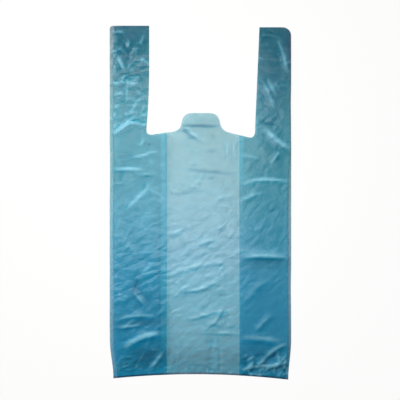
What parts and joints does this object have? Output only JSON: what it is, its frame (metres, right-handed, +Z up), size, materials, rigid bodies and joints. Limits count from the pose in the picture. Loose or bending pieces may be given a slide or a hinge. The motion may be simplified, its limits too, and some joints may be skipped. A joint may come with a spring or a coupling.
{
  "type": "plastic carrier bag",
  "caption": "Flat translucent film carrier bag with gusseted sides, welded ends, looped handles and a hanging tab at the mouth.",
  "frame": {"origin": "under the middle of the bag's outline, on the surface it lies on", "axes": "+X across the bag, +Y from the bottom weld to the tops of the handles, +Z up from the surface"},
  "size_m": [0.28, 0.546, 0.0103],
  "materials": {
    "blue_film": "translucent blue film with a soft sheen, creased from folding"
  },
  "bodies": {
    "root": {"carrier_bag": "blue_film"}
  },
  "joints": []
}
